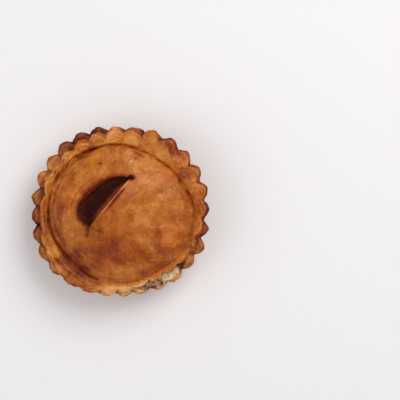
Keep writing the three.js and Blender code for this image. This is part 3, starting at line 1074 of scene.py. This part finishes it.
def curd_top(radius, angle, x, y):
    away = away_from_slit(x, y)
    opened = 1 - smoothstep(away, 0, CURD_REACH)
    full = lid_under(radius, angle) + min(0.0, lip_lift(x, y, away)) - CURD_CLEAR
    sunk = min(full, CURD_Z + 0.5 * ripple(3 * x, 3 * y))
    skin = 0.25 * grains(x, y, 0) + 0.3 * noise.noise(Vector((x / 3, y / 3, 1.0)))
    return lerp(full, sunk, opened) + skin * smoothstep(opened, 0.5, 0.9), away


def seep_tone(x, y, angle):
    # Cream in the middle, with a greyish stretch, browned towards both ends
    degrees = math.degrees(angle) % 360 + 4 * noise.noise(Vector((x / 3, y / 3, 2.0)))
    grey = 0.26 * (1 - smoothstep(degrees, 300, 304)) + 0.14 * (1 - smoothstep(degrees, 280, 288))
    burnt = 0.56 * smoothstep(degrees, 314, 318)
    specks = 0.5 * smoothstep(noise.noise(Vector((x / 1.3, y / 1.3, 4.0))), 0.15, 0.45)
    crumbs = 0.16 * noise.noise(Vector((x / 1.8, y / 1.8, 6.0)))
    return 0.05 + grey + burnt + crumbs + specks * (0.5 + 1.3 * grey)


curd_mesh = spun(curd_profile(), CURD_STEPS)
browning_and_shade = curd_mesh.verts.layers.float.new("browning_and_shade")
for vert in curd_mesh.verts:
    x, y, z = vert.co
    radius, angle = math.hypot(x, y), math.atan2(y, x)
    amount = seep(angle)
    reach = min(SEEP_REACH * amount, case_edge(angle) - SEEP_INSET - neck)
    out = neck + (radius - neck) / SEEP_REACH * reach if radius > neck else radius
    x, y = out * math.cos(angle), out * math.sin(angle)
    grain = grains(x, y, 2)
    tone = 0.1
    on_top = z > ON_TOP / 2
    if on_top and radius < neck:
        z, away = curd_top(out, angle, x, y)
        tone = lerp(0.95, 0.70, smoothstep(away, -5.5, -1.5)) - 0.05 * grain
    elif z >= RIM_Z:
        height = 1.0 if on_top else (z - RIM_Z) / SEEP_THICK
        bed = GAP if amount > 0 else -GAP / 2
        thick = max(bed, bed + height * (SEEP_THICK * amount - bed))
        z = rim_top(out) + thick + height * grain * amount
        # The grains' tops are painted paler and the gaps between them darker: painted highlight and
        # shade
        tone = seep_tone(x, y, angle) - 0.32 * grain
        out += 0.9 * grain * amount * smoothstep(radius, neck + 4, neck + SEEP_REACH)
    vert[browning_and_shade] = clamp(tone)
    vert.co = (out * math.cos(angle), out * math.sin(angle), z)

curd = finish_piece(curd_mesh, "baked_curd", "curd_filling")

# %% [markdown]
# ## Finishes
# The pastry's colour is a ramp over the number for browning and painted shade: pale dough, gold,
# orange-brown, deep brown, nearly black. Noises from object space break it up, with scales per
# metre: 330 gives blotches of a few millimetres, 1500 fine grain, and 800 dark specks. A Voronoi
# pattern, pulled out of shape by noise, gives the hair cracks of the top leaf, darkened along them
# as painted shade in the cracks, and a bent noise that crosses a level gives the small steps of
# its sheets, paler where they are torn. Hue and saturation drift a little, as no two spots bake
# alike. The lid was brushed with egg, so it has a thin clear coat; the case wasn't, and is dull.

# %% Nodes that every finish uses
class Finish:
    def __init__(self, name):
        self.material = bpy.data.materials.new(name)
        self.material.use_nodes = True
        self.nodes, self.links = self.material.node_tree.nodes, self.material.node_tree.links
        self.shader = self.nodes["Principled BSDF"]
        self.place = self.nodes.new("ShaderNodeTexCoord").outputs["Object"]

    def fill(self, node, **inputs):
        # A socket gets a link where another socket is given, and otherwise the number itself
        for label, value in inputs.items():
            socket = node.inputs[label.replace("_", " ")]
            if isinstance(value, bpy.types.NodeSocket):
                self.links.new(value, socket)
            else:
                socket.default_value = value
        return node

    def add(self, kind, **inputs):
        return self.fill(self.nodes.new(kind), **inputs)

    def noise(self, scale, detail, place=None):
        place = place or self.place
        kind = "ShaderNodeTexNoise"
        return self.add(kind, Scale=scale, Detail=detail, Roughness=0.6, Vector=place)

    def bent(self, scale, distance):
        # The place, pushed about by a noise
        node = self.nodes.new("ShaderNodeVectorMath")
        node.operation = "MULTIPLY_ADD"
        self.links.new(self.noise(scale, 3).outputs["Color"], node.inputs[0])
        node.inputs[1].default_value = (distance, distance, distance)
        self.links.new(self.place, node.inputs[2])
        return node.outputs["Vector"]

    def sum(self, value, weight, start):
        # value times weight, plus start
        node = self.nodes.new("ShaderNodeMath")
        node.operation = "MULTIPLY_ADD"
        for socket, given in zip(node.inputs, (value, weight, start)):
            if isinstance(given, bpy.types.NodeSocket):
                self.links.new(given, socket)
            else:
                socket.default_value = given
        return node.outputs["Value"]

    def step(self, value, low, high):
        node = self.add("ShaderNodeMapRange", Value=value, From_Min=low, From_Max=high)
        node.interpolation_type = "SMOOTHSTEP"
        return node.outputs["Result"]

    def ramp(self, value, stops):
        node = self.nodes.new("ShaderNodeValToRGB")
        while len(node.color_ramp.elements) < len(stops):
            node.color_ramp.elements.new(0.5)
        for element, (position, colour) in zip(node.color_ramp.elements, stops):
            element.position = position
            element.color = (*colour, 1)
        self.links.new(value, node.inputs["Fac"])
        return node.outputs["Color"]


def linear(*levels):
    shares = [level / 255 for level in levels]
    return tuple(s / 12.92 if s < 0.04 else ((s + 0.055) / 1.055) ** 2.4 for s in shares)


print("helpers for the finishes")

# %% Baked pastry
PASTRY = [
    (0.0, linear(230, 196, 146)),
    (0.2, linear(212, 140, 62)),
    (0.42, linear(184, 103, 28)),
    (0.6, linear(151, 71, 9)),
    (0.8, linear(108, 36, 6)),
    (1.0, linear(44, 13, 7)),
]


def baked_pastry(name, roughness, coat, hue, saturation):
    finish = Finish(name)
    blotch = finish.noise(330, 4).outputs["Fac"]
    fine = finish.noise(1500, 3).outputs["Fac"]
    drift = finish.noise(95, 2).outputs["Fac"]
    specks = finish.step(finish.noise(800, 1).outputs["Fac"], 0.66, 0.74)
    crackle = finish.add("ShaderNodeTexVoronoi", Scale=150.0, Vector=finish.bent(160, 0.007))
    crackle.feature = "DISTANCE_TO_EDGE"
    hair = finish.step(crackle.outputs["Distance"], 0.05, 0.0)
    some = finish.step(drift, 0.48, 0.62)
    cracks = finish.sum(hair, some, 0.0)
    sheet = finish.noise(170, 2, finish.bent(420, 0.002)).outputs["Fac"]
    leaf = finish.step(sheet, 0.50, 0.515)
    inner = finish.step(sheet, 0.53, 0.56)
    rag = finish.sum(finish.sum(inner, -1.0, leaf), finish.step(blotch, 0.42, 0.56), 0.0)

    browning_and_shade_input = finish.nodes.new("ShaderNodeAttribute")
    browning_and_shade_input.attribute_name = "browning_and_shade"
    tone = finish.sum(blotch, 0.26, browning_and_shade_input.outputs["Fac"])
    tone = finish.sum(fine, 0.12, tone)
    tone = finish.sum(specks, 0.10, tone)
    # Darker along the hair cracks: painted shade in them
    tone = finish.sum(cracks, 0.06, tone)
    tone = finish.sum(drift, 0.12, tone)
    tone = finish.sum(leaf, 0.04, tone)
    tone = finish.sum(rag, -0.12, tone)
    tone = finish.sum(tone, 1.0, -0.27)  # what the noises add on average comes off again
    colour = finish.ramp(tone, PASTRY)
    drifting = finish.sum(finish.noise(85, 2).outputs["Fac"], 0.024, hue - 0.012)
    fading = finish.sum(finish.noise(140, 2).outputs["Fac"], -0.12, saturation + 0.06)
    shade = finish.add("ShaderNodeHueSaturation", Hue=drifting, Saturation=fading, Color=colour)

    height = finish.sum(fine, 0.45, blotch)
    height = finish.sum(cracks, -0.3, height)
    height = finish.sum(leaf, 0.3, height)
    bump = finish.add("ShaderNodeBump", Strength=0.8, Distance=0.0005, Height=height)
    finish.fill(
        finish.shader, Base_Color=shade.outputs["Color"], Normal=bump.outputs["Normal"],
        Specular_IOR_Level=0.12, Coat_Weight=coat, Coat_Roughness=0.36,
        Roughness=finish.sum(blotch, 0.3, roughness - 0.15),
    )
    return finish.material


glazed = baked_pastry("glazed_pastry", 0.48, 0.24, 0.498, 1.0)
for piece in (lid, flakes):
    piece.data.materials.append(glazed)
case.data.materials.append(baked_pastry("dry_pastry", 0.62, 0.0, 0.504, 0.93))
print("glazed and dry pastry")

# %% [markdown]
# Curd changes more than pastry does. Where it crept out it is cream and crumbly, and in the slit
# its skin is nearly black with a soft shine, so its ramp runs from one to the other.

# %% Baked curd
CURD = [
    (0.0, linear(232, 204, 160)),
    (0.25, linear(170, 138, 108)),
    (0.5, linear(116, 66, 44)),
    (0.75, linear(72, 20, 10)),
    (1.0, linear(36, 9, 7)),
]


def curd_skin():
    finish = Finish("curd_skin")
    grain = finish.noise(900, 3).outputs["Fac"]
    cloud = finish.noise(220, 3).outputs["Fac"]
    browning_and_shade_input = finish.nodes.new("ShaderNodeAttribute")
    browning_and_shade_input.attribute_name = "browning_and_shade"
    tone = finish.sum(grain, 0.16, browning_and_shade_input.outputs["Fac"])
    tone = finish.sum(cloud, 0.14, tone)
    tone = finish.sum(tone, 1.0, -0.15)
    bump = finish.add("ShaderNodeBump", Strength=0.5, Distance=0.0003, Height=grain)
    finish.fill(
        finish.shader, Base_Color=finish.ramp(tone, CURD), Normal=bump.outputs["Normal"],
        Specular_IOR_Level=0.08, Roughness=finish.sum(cloud, 0.3, 0.35),
    )
    return finish.material


curd.data.materials.append(curd_skin())
print("curd skin")
